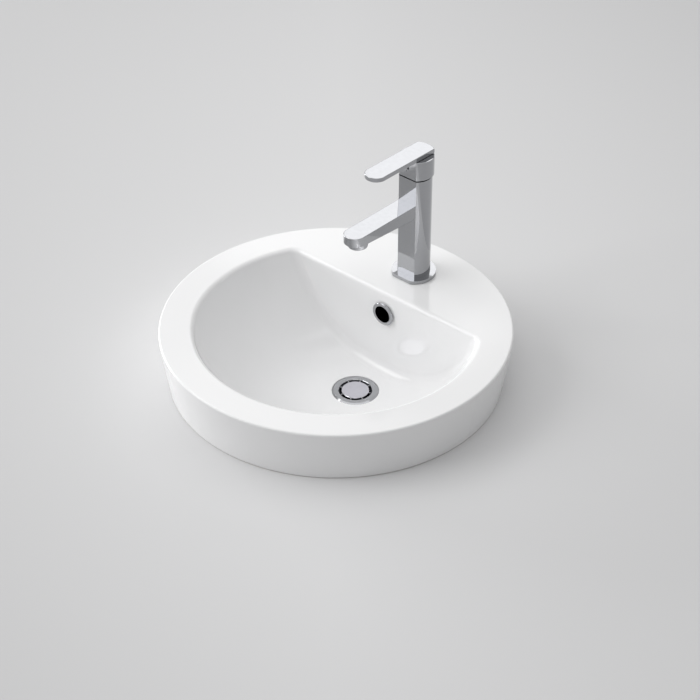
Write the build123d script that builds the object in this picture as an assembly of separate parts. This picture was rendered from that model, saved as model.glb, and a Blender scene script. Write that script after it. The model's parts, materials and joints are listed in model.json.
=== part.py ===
from build123d import *

from math import asin, atan2, cos, hypot, radians, sqrt, tan
import os

# Round inset basin with a D-shaped bowl, its push waste and a single-lever mixer.
# All sizes are in millimetres. The origin is the centre of the rim's seat, on the worktop.
# +Z is up, and +Y points from the bowl to the mixer.

# Cuts reach this far past the piece that they cut
over = 1.0
# Pieces of one casting run this far into each other
bite = 2.0
# The bowl's space runs this far above the deck
mouth_run = 8.0

# Rim
rim_radius = 225.0
rim_height = 75.0
rim_foot_inset = 9.0
rim_round = 11.5
foot_round = 2.5
skirt_wall = 11.0
deck_thickness = 12.0
deck_inner_round = 8.0

# Bowl
deck_front_width = 42.0
mouth_round = 6.0
bowl_depth = 128.0
bowl_wall = 11.0
bowl_fullness = 1.2
bowl_curve = 0.42
bowl_shares = (0.0, 0.06, 0.14, 0.24, 0.36, 0.48, 0.6, 0.71, 0.81, 0.89, 0.95, 0.985)
back_wall_inset = 130.2
back_wall_lean = 1.5
crease_round = 16.0

# Waste
waste_inset = 56.8
waste_flange_radius = 31.0
waste_flange_thickness = 2.6
waste_flange_proud = 1.0
waste_flange_bevel = 2.2
waste_flange_edge = 1.4
waste_recess_clearance = 0.4
waste_gasket_thickness = 1.2
waste_thread_radius = 23.9
waste_throat_radius = 21.9
waste_hole_clearance = 1.6
waste_seat_depth = 11.0
waste_lip_radius = 17.5
waste_lip_height = 2.0
waste_bore_radius = 20.4
waste_tail = 98.0
waste_throat_edge = 0.6
waste_relief_depth = 0.8
waste_relief_width = 3.0
waste_relief_gap = 1.0
waste_floor_margin = 1.5
waste_port_width = 12.0
waste_port_height = 8.0
waste_port_turns = (45, 135, 225, 315)
waste_seal_clearance = 0.1
waste_gasket_inset = 0.6
bottom_gasket_fit = 0.2
outlet_boss_radius = 40.0
outlet_boss_drop = 42.0
bottom_gasket_radius = 36.0
bottom_gasket_thickness = 6.0
slip_ring_thickness = 1.4
back_nut_thickness = 9.0
back_nut_across = 60.0
back_nut_edge = 1.5

# Plug
plug_cap_radius = 18.2
plug_cap_thickness = 2.6
plug_cap_edge = 0.4
plug_cap_clearance = 0.05
plug_rib_count = 8
plug_rib_width = 1.5
plug_rib_drop = 0.3
plug_band_radius = 21.6
plug_band_wall = 1.0
plug_band_drop = 3.0
plug_band_height = 5.0
plug_hub_radius = 17.0
plug_hub_wall = 3.0
plug_seal_radius = 1.8
plug_seal_gap = 0.35
plug_seal_inset = 2.9
plug_base_below = 1.2
plug_stem_radius = 3.5
plug_stem_length = 38.0
plug_stem_edge = 0.6
seal_groove_inset = 0.6
seal_groove_drop = 0.4

# Push latch
latch_radius = 8.0
latch_top = 27.0
latch_length = 30.0
latch_floor = 2.0
latch_clearance = 0.08
latch_arm_width = 4.0
latch_arm_height = 6.0
latch_arm_turns = (30, 150, 270)
spring_wire = 0.5
spring_coils = 6
spring_gap = 0.3

# Overflow
overflow_drop = 34.0
overflow_hole_radius = 15.0
overflow_ring_radius = 16.6
overflow_ring_bore = 12.2
overflow_ring_thickness = 2.0
overflow_ring_round = 1.2
overflow_sleeve_length = 9.0
overflow_sleeve_wall = 1.2
overflow_clearance = 0.1
channel_width = 40.0
channel_depth = 12.0
channel_wall = 8.0
channel_round = 6.4
channel_front_wall = 8.5
channel_top_drop = 17.0
chamber_radius = 31.0
chamber_drop = 14.0

# Mixer column
tap_inset = 69.0
tap_hole_radius = 17.5
column_radius = 21.6
column_flat = 16.4
column_height = 152.2
column_edge = 0.7

# Mixer foot
flange_radius = 29.2
flange_flat = 25.4
flange_band = 4.5
flange_rise = 0.4
flange_clearance = 0.05
base_seal_thickness = 0.6
base_seal_inset = 0.6

# Spout
spout_top = 116.3
spout_thickness = 19.3
spout_rise = 2.4
spout_under_rise = 5.7
spout_reach = 134.0
spout_bore_radius = 4.5
outlet_reach = 113.8
outlet_radius = 13.0
outlet_drop = 5.0
aerator_radius = 12.0
aerator_length = 10.0
aerator_collar_radius = 12.6
aerator_proud = 2.0
aerator_wall = 1.4
aerator_seal_thickness = 2.0
mesh_pitch = 2.1
mesh_opening = 1.5
mesh_depth = 5.0
thread_clearance = 0.05

# Cartridge
cartridge_radius = 12.9
cartridge_seat = 31.0
cartridge_seal_thickness = 1.0
cartridge_wall = 1.2
cartridge_clearance = 0.05
disc_fixed_thickness = 3.0
disc_moving_radius = 8.2
disc_moving_thickness = 2.5
carrier_height = 4.0
carrier_floor = 0.6
carriage_radius = 9.15
carriage_flange_radius = 11.4
carriage_flange_height = 1.5
carriage_clearance = 0.05
carriage_height = 13.0
cartridge_gap = 0.3
cartridge_body_above = 1.0
cartridge_nut_height = 6.0
cartridge_nut_bore = 9.8
nut_notch_width = 3.0
nut_notch_depth = 2.0
port_radius = 3.0
disc_port_radius = 2.4
pocket_margin = 2.0
port_x = 5.2
port_y = 2.4
outlet_port_y = -5.2
stem_width = 8.0
stem_clearance = 0.3
stem_below = 9.5
stem_above = 34.0
stem_neck = 4.5
paddle_thickness = 4.4
paddle_clearance = 0.5
pivot_pin_radius = 1.6
pivot_pin_inset = 0.4
stem_edge = 0.8
pivot_height = 6.6
lift_angle = 20.0

# Inlets and clamp under the deck
inlet_radius = 5.0
inlet_depth = 12.0
inlet_x = 8.2
inlet_y = 3.0
stud_radius = 4.0
stud_y = -9.6
stud_depth = 14.0
stud_length = 62.0
stud_clearance = 0.2
stud_fit = 0.03
stud_edge = 0.8
horseshoe_radius = 24.0
horseshoe_plate_inset = 0.5
horseshoe_seal_thickness = 3.0
horseshoe_plate_thickness = 2.5
horseshoe_slot_width = 27.0
horseshoe_slot_start = 3.2
nut_across = 13.0
nut_height = 15.0

# Handle
handle_gap = 1.8
handle_radius = 22.6
handle_shift = 1.7
handle_height = 26.3
handle_wall = 2.2
handle_top = 3.5
handle_boss_radius = 7.6
handle_boss_height = 17.0
handle_edge = 0.4
socket_clearance = 0.05
screw_boss_half = 5.5
lever_thickness = 6.1
lever_tilt = 2.85
lever_gap = 0.5
lever_reach = 93.7
lever_neck_width = 22.0
lever_neck_inset = 4.0
screw_radius = 2.3
screw_clearance = 0.02
screw_key = 1.3
screw_length = 6.0
screw_height = 14.5
index_plug_depth = 1.5
index_dot_radius = 0.9
index_dot_depth = 0.6
index_dot_x = -2.2
index_dot_z = -5.0

# Places worked out from the sizes above
rim_foot_radius = rim_radius - rim_foot_inset
mouth_radius = rim_radius - deck_front_width
tap_y = rim_radius - tap_inset
back_wall_y = rim_radius - back_wall_inset
waste_y = back_wall_y - waste_inset
bowl_floor_z = rim_height - bowl_depth
outlet_boss_bottom = bowl_floor_z - outlet_boss_drop
chamber_top = bowl_floor_z - chamber_drop
flange_top_z = bowl_floor_z + waste_flange_proud
gasket_top_z = flange_top_z - waste_flange_thickness
recess_z = gasket_top_z - waste_gasket_thickness
waste_hole_radius = waste_thread_radius + waste_hole_clearance
floor_radius = waste_flange_radius + waste_floor_margin
deck_under_z = rim_height - deck_thickness
chamber_bottom_z = chamber_top - channel_depth
washer_z = outlet_boss_bottom - bottom_gasket_thickness
slip_z = washer_z - slip_ring_thickness
back_nut_z = slip_z - back_nut_thickness
seat_z = flange_top_z - waste_seat_depth
lip_z = seat_z - (waste_throat_radius - waste_lip_radius)
seal_path = waste_throat_radius - plug_seal_inset - plug_seal_radius
seal_z = seat_z - plug_seal_inset - plug_seal_radius + sqrt(2) * (plug_seal_radius + plug_seal_gap)
stem_low_z = flange_top_z - plug_cap_thickness - plug_stem_length
overflow_z = rim_height - overflow_drop
channel_front_y = back_wall_y + channel_front_wall
column_bottom_z = rim_height + base_seal_thickness
column_top_z = rim_height + column_height
column_half_flat = sqrt(column_radius**2 - column_flat**2)
column_front_y = tap_y - column_flat
spout_top_z = rim_height + spout_top
tip_y = tap_y - spout_reach
tip_centre_y = tip_y + column_half_flat
spout_under_z = spout_top_z - spout_thickness
aerator_y = tap_y - outlet_reach
outlet_z = spout_under_z + (column_front_y - aerator_y) * tan(radians(spout_under_rise)) - outlet_drop
socket_top_z = outlet_z + aerator_length
chamber_floor_z = column_top_z - cartridge_seat
disc_z = chamber_floor_z + cartridge_seal_thickness
moving_disc_z = disc_z + disc_fixed_thickness
carrier_z = moving_disc_z + disc_moving_thickness
carriage_z = carrier_z + carrier_height + cartridge_gap
carriage_top_z = carriage_z + carriage_height
pivot_z = carriage_z + pivot_height
handle_bottom_z = column_top_z + handle_gap
handle_top_z = handle_bottom_z + handle_height
handle_y = tap_y + handle_shift
screw_z = handle_bottom_z + screw_height


def disc(radius, low, high, x=0.0, y=0.0):
    """Upright cylinder between two heights."""
    return Pos(x, y, (low + high) / 2) * Cylinder(radius, high - low)


def tube(outer, inner, low, high, x=0.0, y=0.0):
    """Upright ring between two heights."""
    return disc(outer, low, high, x, y) - disc(inner, low - 1, high + 1, x, y)


def block(x0, x1, y0, y1, z0, z1):
    """Box between two corners."""
    return Pos((x0 + x1) / 2, (y0 + y1) / 2, (z0 + z1) / 2) * Box(x1 - x0, y1 - y0, z1 - z0)


def turned(points, x=0.0, y=0.0):
    """Solid turned about an upright axis from (radius, height) points."""
    with BuildPart() as made:
        with BuildSketch(Plane.XZ):
            with BuildLine():
                Polyline(*points, close=True)
            make_face()
        revolve(axis=Axis.Z)
    return Pos(x, y, 0) * made.part


def d_prism(radius, flat, low, high, y):
    """Upright prism on a circle that is cut flat at the front."""
    return disc(radius, low, high, 0, y) - block(
        -radius - 1, radius + 1, y - radius - 1, y - flat, low - 1, high + 1
    )


def bowl_level(share, wall):
    """Radius, centre and height of the bowl's circle at one share of the way out to the mouth."""
    sink = (1 - share ** (1 / bowl_curve)) ** (1 / bowl_fullness) if share < 1 else 0.0
    outward = sqrt(share)
    radius = floor_radius + (mouth_radius - floor_radius) * share + wall * outward
    centre = waste_y * (1 - share)
    height = rim_height - bowl_depth * sink - wall * (1 - outward)
    return radius, centre, height


def bowl_form(wall, top):
    """The bowl's space, or with a wall the outside of the bowl, up to the given height."""
    rings = []
    for share in bowl_shares:
        radius, centre, height = bowl_level(share, wall)
        rings.append(Wire(Edge.make_circle(radius, Plane(origin=(0, centre, height)))))
    rings.append(Wire(Edge.make_circle(mouth_radius + wall, Plane(origin=(0, 0, top)))))
    form = Solid.make_loft(rings)
    size = 4 * rim_radius
    behind = Pos(0, back_wall_y + wall, rim_height) * Rot(back_wall_lean, 0, 0) * Pos(0, size / 2, 0)
    form = Part() + form - behind * Box(size, size, size)
    wall_edges = [
        edge
        for edge in form.edges()
        if edge.center().Y > waste_y + floor_radius / 2
        and edge.center().Z < top - mouth_run / 2
        and edge.length > mouth_radius
    ]
    return fillet(wall_edges, crease_round + wall)


def rim_shell():
    """Deck and skirt: a disc with a leaning, rounded wall that stands on the worktop."""
    rise = rim_height - rim_round
    inset = rim_foot_radius - (rim_radius - rim_round)
    lean = asin(rim_round / hypot(rise, inset)) - atan2(inset, rise)
    top_radius = rim_foot_radius + rim_height * tan(lean)
    inner_foot = rim_foot_radius - skirt_wall
    inner_top = inner_foot + deck_under_z * tan(lean)
    with BuildPart() as made:
        with BuildSketch(Plane.XZ) as outline:
            with BuildLine():
                Polyline(
                    (0, deck_under_z),
                    (inner_top, deck_under_z),
                    (inner_foot, 0),
                    (rim_foot_radius, 0),
                    (top_radius, rim_height),
                    (0, rim_height),
                    close=True,
                )
            make_face()
            corners = outline.vertices()
            fillet([v for v in corners if v.X > inner_top + 1 and v.Z > 1], rim_round)
            foot = [v for v in outline.vertices() if abs(v.Z) < 0.01 and v.X > rim_foot_radius - 1]
            fillet(foot, foot_round)
            fillet([v for v in outline.vertices() if abs(v.X - inner_top) < 0.01], deck_inner_round)
        revolve(axis=Axis.Z)
    return made.part


def channel_body():
    """Outside of the overflow channel: down behind the bowl, then forward to the outlet."""
    half = channel_width / 2 + channel_wall
    back = channel_front_y + channel_depth + channel_wall
    low = chamber_bottom_z - channel_wall
    upright = block(-half, half, back_wall_y + bite, back, low, deck_under_z + bite)
    under = block(-half, half, waste_y, back, low, chamber_top + channel_wall)
    body = upright + under
    corners = body.edges().filter_by(Axis.Z).filter_by(lambda e: e.center().Y > back - over)
    return fillet(corners, channel_round)


def channel_space():
    """The waterway inside the channel, from the overflow hole to the chamber round the waste."""
    half = channel_width / 2
    back = channel_front_y + channel_depth
    top = rim_height - channel_top_drop
    upright = block(-half, half, channel_front_y, back, chamber_bottom_z, top)
    under = block(-half, half, waste_y, back, chamber_bottom_z, chamber_top)
    return upright + under + disc(chamber_radius, chamber_bottom_z, chamber_top, 0, waste_y)


def overflow_axis(radius, near, far):
    """Cylinder along the overflow hole, square to the leaning back wall."""
    wall_y = back_wall_y - overflow_drop * tan(radians(back_wall_lean))
    place = Pos(0, wall_y, overflow_z) * Rot(back_wall_lean, 0, 0) * Rot(-90, 0, 0)
    return place * Pos(0, 0, (near + far) / 2) * Cylinder(radius, far - near)


def make_basin():
    """The china: rim, deck, bowl, overflow channel and outlet boss in one casting."""
    casting = rim_shell() + bowl_form(bowl_wall, rim_height - bite)
    casting += channel_body()
    casting += disc(outlet_boss_radius, outlet_boss_bottom, bowl_floor_z - bite, 0, waste_y)
    casting -= bowl_form(0, rim_height + mouth_run)
    level = casting.edges().filter_by_position(Axis.Z, rim_height - 0.01, rim_height + 0.01)
    mouth = level.filter_by(lambda e: e.bounding_box().max.X < mouth_radius + bite)
    casting = fillet(mouth, mouth_round)
    casting -= channel_space()
    casting -= overflow_axis(overflow_hole_radius, -bite, channel_front_wall + channel_depth / 2)
    recess_radius = waste_flange_radius + waste_recess_clearance
    casting -= disc(recess_radius, recess_z, bowl_floor_z + over, 0, waste_y)
    casting -= disc(waste_hole_radius, outlet_boss_bottom - over, recess_z + over, 0, waste_y)
    casting -= disc(tap_hole_radius, deck_under_z - over, rim_height + over, 0, tap_y)
    return casting


def make_overflow_ring():
    """Chrome ring: a rounded face on the wall and a thinner sleeve in the hole."""
    face = overflow_axis(overflow_ring_radius, -overflow_ring_thickness, 0)
    face = fillet(face.edges().sort_by(Axis.Y)[0], overflow_ring_round)
    outer = overflow_hole_radius - overflow_clearance
    ring = face + overflow_axis(outer, -overflow_ring_round / 2, overflow_sleeve_length)
    ring -= overflow_axis(overflow_ring_bore, -overflow_ring_thickness - over, over)
    return ring - overflow_axis(outer - overflow_sleeve_wall, 0, overflow_sleeve_length + over)


def make_waste_body():
    """Flange, throat, plug seat and threaded tail, with ports for the overflow water."""
    top = flange_top_z
    tail_z = top - waste_tail
    edge = waste_throat_edge
    thread = waste_thread_radius
    relief_top = back_nut_z - waste_relief_gap
    relief_low = relief_top - waste_relief_width
    body = turned(
        [
            (waste_throat_radius, top - edge),
            (waste_throat_radius + edge, top),
            (waste_flange_radius - waste_flange_bevel, top),
            (waste_flange_radius, top - waste_flange_edge),
            (waste_flange_radius, gasket_top_z),
            (thread, gasket_top_z),
            (thread, relief_top),
            (thread - waste_relief_depth, relief_top),
            (thread - waste_relief_depth, relief_low),
            (thread, relief_low),
            (thread, tail_z),
            (waste_bore_radius, tail_z),
            (waste_bore_radius, lip_z - waste_lip_height - (waste_bore_radius - waste_lip_radius)),
            (waste_lip_radius, lip_z - waste_lip_height),
            (waste_lip_radius, lip_z),
            (waste_throat_radius, seat_z),
        ],
        0,
        waste_y,
    )
    middle = (chamber_top + chamber_bottom_z) / 2
    half = waste_port_width / 2
    low = middle - waste_port_height / 2
    high = middle + waste_port_height / 2
    for turn in waste_port_turns:
        port = block(0, thread + over, -half, half, low, high)
        body -= Pos(0, waste_y, 0) * Rot(0, 0, turn) * port
    return body


def make_waste_seals():
    """Rubber washers above and below the china, the slip ring and the back nut."""
    inner = waste_thread_radius + waste_seal_clearance
    top_gasket = tube(waste_flange_radius - waste_gasket_inset, inner, recess_z, gasket_top_z, 0, waste_y)
    bottom_gasket = turned(
        [
            (inner, washer_z),
            (bottom_gasket_radius, washer_z),
            (bottom_gasket_radius, outlet_boss_bottom),
            (waste_hole_radius - bottom_gasket_fit, outlet_boss_bottom),
            (inner, outlet_boss_bottom + waste_hole_clearance),
        ],
        0,
        waste_y,
    )
    slip_ring = tube(bottom_gasket_radius - over, inner, slip_z, washer_z, 0, waste_y)
    corner = back_nut_across / sqrt(3)
    rounding = turned(
        [
            (0, back_nut_z),
            (corner - back_nut_edge, back_nut_z),
            (corner, back_nut_z + back_nut_edge),
            (corner, slip_z),
            (0, slip_z),
        ],
        0,
        waste_y,
    )
    nut = Pos(0, waste_y, 0) * hexagon(back_nut_across, back_nut_z, slip_z) & rounding
    nut -= disc(inner, back_nut_z - over, slip_z + over, 0, waste_y)
    return top_gasket, bottom_gasket, slip_ring, nut


def hexagon(across, low, high):
    """Upright six-sided prism of the given width across its flats."""
    outline = RegularPolygon(across / 2, 6, major_radius=False)
    return extrude(Plane.XY.offset(low) * outline, high - low)


def make_plug():
    """Flush disc, ribbed ring that carries the seal, the seal and the stem."""
    top = flange_top_z
    cap_z = top - plug_cap_thickness
    band_z = top - plug_band_drop - plug_band_height
    base_z = seal_z - plug_seal_radius - plug_base_below
    cap = disc(plug_cap_radius, cap_z, top, 0, waste_y)
    cap = chamfer(cap.edges().sort_by(Axis.Z)[-1], plug_cap_edge)

    band_inner = plug_band_radius - plug_band_wall
    strainer = tube(plug_band_radius, band_inner, band_z, top - plug_band_drop, 0, waste_y)
    strainer += tube(plug_hub_radius, plug_hub_radius - plug_hub_wall, band_z, cap_z, 0, waste_y)
    half = plug_rib_width / 2
    rib_end = band_inner + plug_band_wall / 2
    rib = block(plug_hub_radius - over, rib_end, -half, half, band_z, top - plug_rib_drop)
    pitch = 360 / plug_rib_count
    for index in range(plug_rib_count):
        strainer += Pos(0, waste_y, 0) * Rot(0, 0, pitch * index + pitch / 2) * rib
    strainer -= disc(plug_cap_radius + plug_cap_clearance, cap_z, top + over, 0, waste_y)
    strainer += disc(plug_hub_radius, base_z, band_z + over, 0, waste_y)
    seal = Pos(0, waste_y, seal_z) * Torus(seal_path, plug_seal_radius)
    groove_z = seal_z - seal_groove_drop
    groove_inner = waste_lip_radius - seal_groove_inset
    below_seal = tube(plug_hub_radius + over, groove_inner, base_z - over, groove_z, 0, waste_y)
    strainer = strainer - below_seal - seal
    strainer -= disc(plug_stem_radius, base_z - over, top, 0, waste_y)

    stem = disc(plug_stem_radius, stem_low_z, cap_z, 0, waste_y)
    stem = chamfer(stem.edges().sort_by(Axis.Z)[0], plug_stem_edge)
    return cap, strainer, seal, stem


def make_latch():
    """Cup that the stem slides in, held by three arms, with the return spring under the stem."""
    top = flange_top_z - latch_top
    low = top - latch_length
    floor_z = low + latch_floor
    half = latch_arm_width / 2
    cup = disc(latch_radius, low, top, 0, waste_y)
    arm_top = floor_z + latch_arm_height
    arm = block(latch_radius - over, waste_bore_radius + over, -half, half, floor_z, arm_top)
    for turn in latch_arm_turns:
        cup += Pos(0, waste_y, 0) * Rot(0, 0, turn) * arm
    cup = cup & disc(waste_bore_radius, low, top, 0, waste_y)
    bore = plug_stem_radius + latch_clearance
    cup -= disc(bore, floor_z, top + over, 0, waste_y)

    coil_radius = bore - spring_wire - spring_gap
    rise = stem_low_z - floor_z - 2 * (spring_wire + spring_gap)
    path = Helix(rise / spring_coils, rise, coil_radius)
    wire = Plane(origin=path @ 0, z_dir=path % 0) * Circle(spring_wire)
    spring = Pos(0, waste_y, floor_z + spring_wire + spring_gap) * sweep(wire, path=path, is_frenet=True)
    return cup, spring


def runs_level(edge):
    """Whether an edge runs roughly level at its middle."""
    return abs((edge % 0.5).Z) < 0.5


def spout_form():
    """Flat bar from the column to a round tip, rising towards the tip on both faces."""
    front = tip_y - over
    rise = tan(radians(spout_rise))
    under_rise = tan(radians(spout_under_rise))
    side = Plane.YZ.offset(-column_half_flat) * make_face(
        Polyline(
            (tap_y, spout_top_z - column_flat * rise),
            (front, spout_top_z + (column_front_y - front) * rise),
            (front, spout_under_z + (column_front_y - front) * under_rise),
            (tap_y, spout_under_z - column_flat * under_rise),
            close=True,
        )
    )
    bar = block(-column_half_flat, column_half_flat, tip_centre_y, tap_y, rim_height, column_top_z)
    outline = bar + disc(column_half_flat, rim_height, column_top_z, 0, tip_centre_y)
    form = extrude(side, 2 * column_half_flat) & outline
    long_edges = [e for e in form.edges() if e.length > spout_thickness + bite and runs_level(e)]
    rims = [e for e in long_edges if e.center().Y < column_front_y + column_flat / 2]
    return fillet(rims, column_edge)


def make_mixer_body():
    """Column and spout in one casting, with the waterways and the cartridge's chamber."""
    body = d_prism(column_radius, column_flat, column_bottom_z, column_top_z, tap_y) + spout_form()
    body += disc(outlet_radius, outlet_z, socket_top_z, 0, aerator_y)
    body -= disc(aerator_radius, outlet_z - over, socket_top_z, 0, aerator_y)
    body -= disc(cartridge_radius + cartridge_clearance, chamber_floor_z, column_top_z + over, 0, tap_y)
    inlet_top = column_bottom_z + inlet_depth
    for side in (-1, 1):
        body -= disc(inlet_radius, column_bottom_z - over, inlet_top, side * inlet_x, tap_y + inlet_y)
        body -= disc(port_radius, inlet_top - over, chamber_floor_z + over, side * port_x, tap_y + port_y)

    start = Vector(0, tap_y + outlet_port_y, spout_under_z + spout_thickness / 2)
    finish = Vector(0, aerator_y, socket_top_z - over)
    reach = finish - start
    body -= Solid.make_cylinder(spout_bore_radius, reach.length, Plane(origin=start, z_dir=reach))
    body -= disc(port_radius, start.Z, chamber_floor_z + over, 0, start.Y)
    body -= disc(stud_radius, column_bottom_z - over, column_bottom_z + stud_depth, 0, tap_y + stud_y)
    return body


def d_face(radius, flat, height):
    """D outline as a face at one height, about the column's axis."""
    half = sqrt(radius**2 - flat**2)
    arc = ThreePointArc((half, -flat), (0, radius), (-half, -flat))
    outline = make_face([arc, Line((-half, -flat), (half, -flat))])
    return Pos(0, tap_y, height) * outline


def make_foot():
    """The flange round the column's foot and the rubber plate under both."""
    low = column_bottom_z
    band_z = low + flange_band
    top_z = band_z + flange_rise
    outlines = [d_face(flange_radius, flange_flat, band_z), d_face(column_radius, column_flat, top_z)]
    flange = d_prism(flange_radius, flange_flat, low, band_z, tap_y) + loft(outlines, ruled=True)
    opening = column_radius + flange_clearance
    flange -= d_prism(opening, column_flat + flange_clearance, low - over, top_z + over, tap_y)
    seal = d_prism(flange_radius - base_seal_inset, flange_flat - base_seal_inset, rim_height, low, tap_y)
    seal -= disc(tap_hole_radius - over, rim_height - over, low + over, 0, tap_y)
    return flange, seal


def make_aerator():
    """Threaded housing with its collar, the plastic core with its mesh, and the seal above."""
    face_z = outlet_z - aerator_proud
    seal_top = socket_top_z - over
    seal_low = seal_top - aerator_seal_thickness
    outer = aerator_radius - thread_clearance
    core_radius = outer - aerator_wall
    housing = disc(aerator_collar_radius, face_z, outlet_z, 0, aerator_y)
    housing = chamfer(housing.edges().sort_by(Axis.Z)[0], aerator_proud / 4)
    housing += disc(outer, outlet_z, seal_low, 0, aerator_y)
    housing -= disc(core_radius - aerator_wall, face_z - over, seal_low + over, 0, aerator_y)
    housing -= disc(core_radius, face_z + aerator_wall, seal_low + over, 0, aerator_y)

    core = disc(core_radius, face_z + aerator_wall, seal_low, 0, aerator_y)
    reach = core_radius - aerator_wall - mesh_opening
    steps = int(reach / mesh_pitch)
    openings = []
    for row in range(-steps, steps + 1):
        for column in range(-steps, steps + 1):
            x = column * mesh_pitch
            y = row * mesh_pitch
            if hypot(x, y) < reach:
                place = Pos(x, aerator_y + y, face_z + aerator_wall)
                openings.append(place * Box(mesh_opening, mesh_opening, mesh_depth))
    core -= openings
    seal = tube(outer, core_radius - aerator_wall, seal_low, seal_top, 0, aerator_y)
    return housing, core, seal


def horseshoe(radius, low, high):
    """Plate round the stud, open at the back for the supply hoses."""
    half = horseshoe_slot_width / 2
    shape = disc(radius, low, high, 0, tap_y)
    shape -= block(-half, half, tap_y - horseshoe_slot_start, tap_y + radius + over, low - over, high + over)
    return shape - disc(stud_radius + stud_clearance, low - over, high + over, 0, tap_y + stud_y)


def make_clamp():
    """Stud, horseshoe seal and plate, and the long nut that hold the mixer under the deck."""
    seal_z = deck_under_z - horseshoe_seal_thickness
    plate_z = seal_z - horseshoe_plate_thickness
    nut_z = plate_z - nut_height
    stud_top = column_bottom_z + stud_depth - over
    y = tap_y + stud_y
    seal = horseshoe(horseshoe_radius, seal_z, deck_under_z)
    plate = horseshoe(horseshoe_radius - horseshoe_plate_inset, plate_z, seal_z)
    stud = disc(stud_radius - stud_fit, stud_top - stud_length, stud_top, 0, y)
    stud = chamfer(stud.edges().sort_by(Axis.Z)[0], stud_edge)
    nut = Pos(0, y, 0) * hexagon(nut_across, nut_z, plate_z)
    nut -= disc(stud_radius, nut_z - over, plate_z + over, 0, y)
    return stud, seal, plate, nut


def make_cartridge():
    """Fixed parts of the ceramic cartridge: its body, seals, lower disc and nut."""
    bore = carriage_radius + carriage_clearance
    room = cartridge_radius - cartridge_wall
    shoulder_z = carriage_z + carriage_flange_height + cartridge_gap
    body_top = carriage_top_z - cartridge_body_above
    nut_top = body_top + cartridge_nut_height
    body = disc(cartridge_radius, disc_z, body_top, 0, tap_y)
    body -= disc(room, disc_z - over, shoulder_z, 0, tap_y)
    body -= disc(bore, shoulder_z - over, body_top + over, 0, tap_y)
    fixed_disc = disc(room, disc_z, moving_disc_z, 0, tap_y)
    seals = disc(cartridge_radius, chamber_floor_z, disc_z, 0, tap_y)
    for x, y in ((-port_x, port_y), (port_x, port_y), (0, outlet_port_y)):
        fixed_disc -= disc(disc_port_radius, disc_z - over, moving_disc_z + over, x, tap_y + y)
        seals -= disc(port_radius, chamber_floor_z - over, disc_z + over, x, tap_y + y)
    nut = tube(cartridge_radius, cartridge_nut_bore, body_top, nut_top, 0, tap_y)
    half = nut_notch_width / 2
    for turn in (0, 90, 180, 270):
        notch = block(bore, cartridge_radius + over, -half, half, nut_top - nut_notch_depth, nut_top + over)
        nut -= Pos(0, tap_y, 0) * Rot(0, 0, turn) * notch
    return body, seals, fixed_disc, nut


def make_moving_disc():
    """The upper ceramic disc, with its water pocket, and the carrier that the stem pushes."""
    disc_piece = disc(disc_moving_radius, moving_disc_z, carrier_z, 0, tap_y)
    pocket_top = moving_disc_z + disc_moving_thickness / 2
    pocket_y = tap_y + outlet_port_y - pocket_margin
    disc_piece -= block(-port_radius, port_radius, pocket_y, tap_y, moving_disc_z - over, pocket_top)
    carrier = disc(disc_moving_radius, carrier_z, carrier_z + carrier_height, 0, tap_y)
    half_x = stem_width / 2 + stem_clearance
    half_y = paddle_thickness / 2 + paddle_clearance
    floor_z = carrier_z + carrier_floor
    carrier -= block(-half_x, half_x, tap_y - half_y, tap_y + half_y, floor_z, carriage_z)
    return disc_piece, carrier


def make_stem():
    """The carriage that turns, the cross pin and the stem that tilts on it."""
    half = stem_width / 2
    lift = radians(lift_angle)
    slot_x = half + stem_clearance
    slot_y = half / cos(lift) + (carriage_top_z - pivot_z) * tan(lift) + stem_clearance
    carriage = disc(carriage_radius, carriage_z, carriage_top_z, 0, tap_y)
    carriage += disc(carriage_flange_radius, carriage_z, carriage_z + carriage_flange_height, 0, tap_y)
    slot_z = (carriage_z - over, carriage_top_z + over)
    carriage -= block(-slot_x, slot_x, tap_y - slot_y, tap_y + slot_y, *slot_z)
    pin_line = Pos(0, tap_y, pivot_z) * Rot(0, 90, 0)
    carriage -= pin_line * Cylinder(pivot_pin_radius, 2 * (carriage_flange_radius + over))
    pin = pin_line * Cylinder(pivot_pin_radius, 2 * (carriage_radius - pivot_pin_inset))

    neck_z = pivot_z - stem_neck
    thin = paddle_thickness / 2
    tip_z = pivot_z - stem_below + thin
    stem = block(-half, half, tap_y - half, tap_y + half, neck_z, pivot_z + stem_above)
    stem = chamfer(stem.edges().group_by(Axis.Z)[-1], stem_edge)
    stem += block(-half, half, tap_y - thin, tap_y + thin, tip_z, neck_z)
    stem += Pos(0, tap_y, tip_z) * Rot(0, 90, 0) * Cylinder(thin, stem_width)
    stem -= pin_line * Cylinder(pivot_pin_radius + carriage_clearance, 2 * stem_width)
    return carriage, pin, stem


def tilted_slab(length, low, high):
    """Slab at the lever's tilt, between two heights above the cap's top on the column's axis."""
    place = Pos(0, tap_y, handle_top_z) * Rot(-lever_tilt, 0, 0) * Pos(0, 0, (low + high) / 2)
    return place * Box(length, length, high - low)


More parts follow.
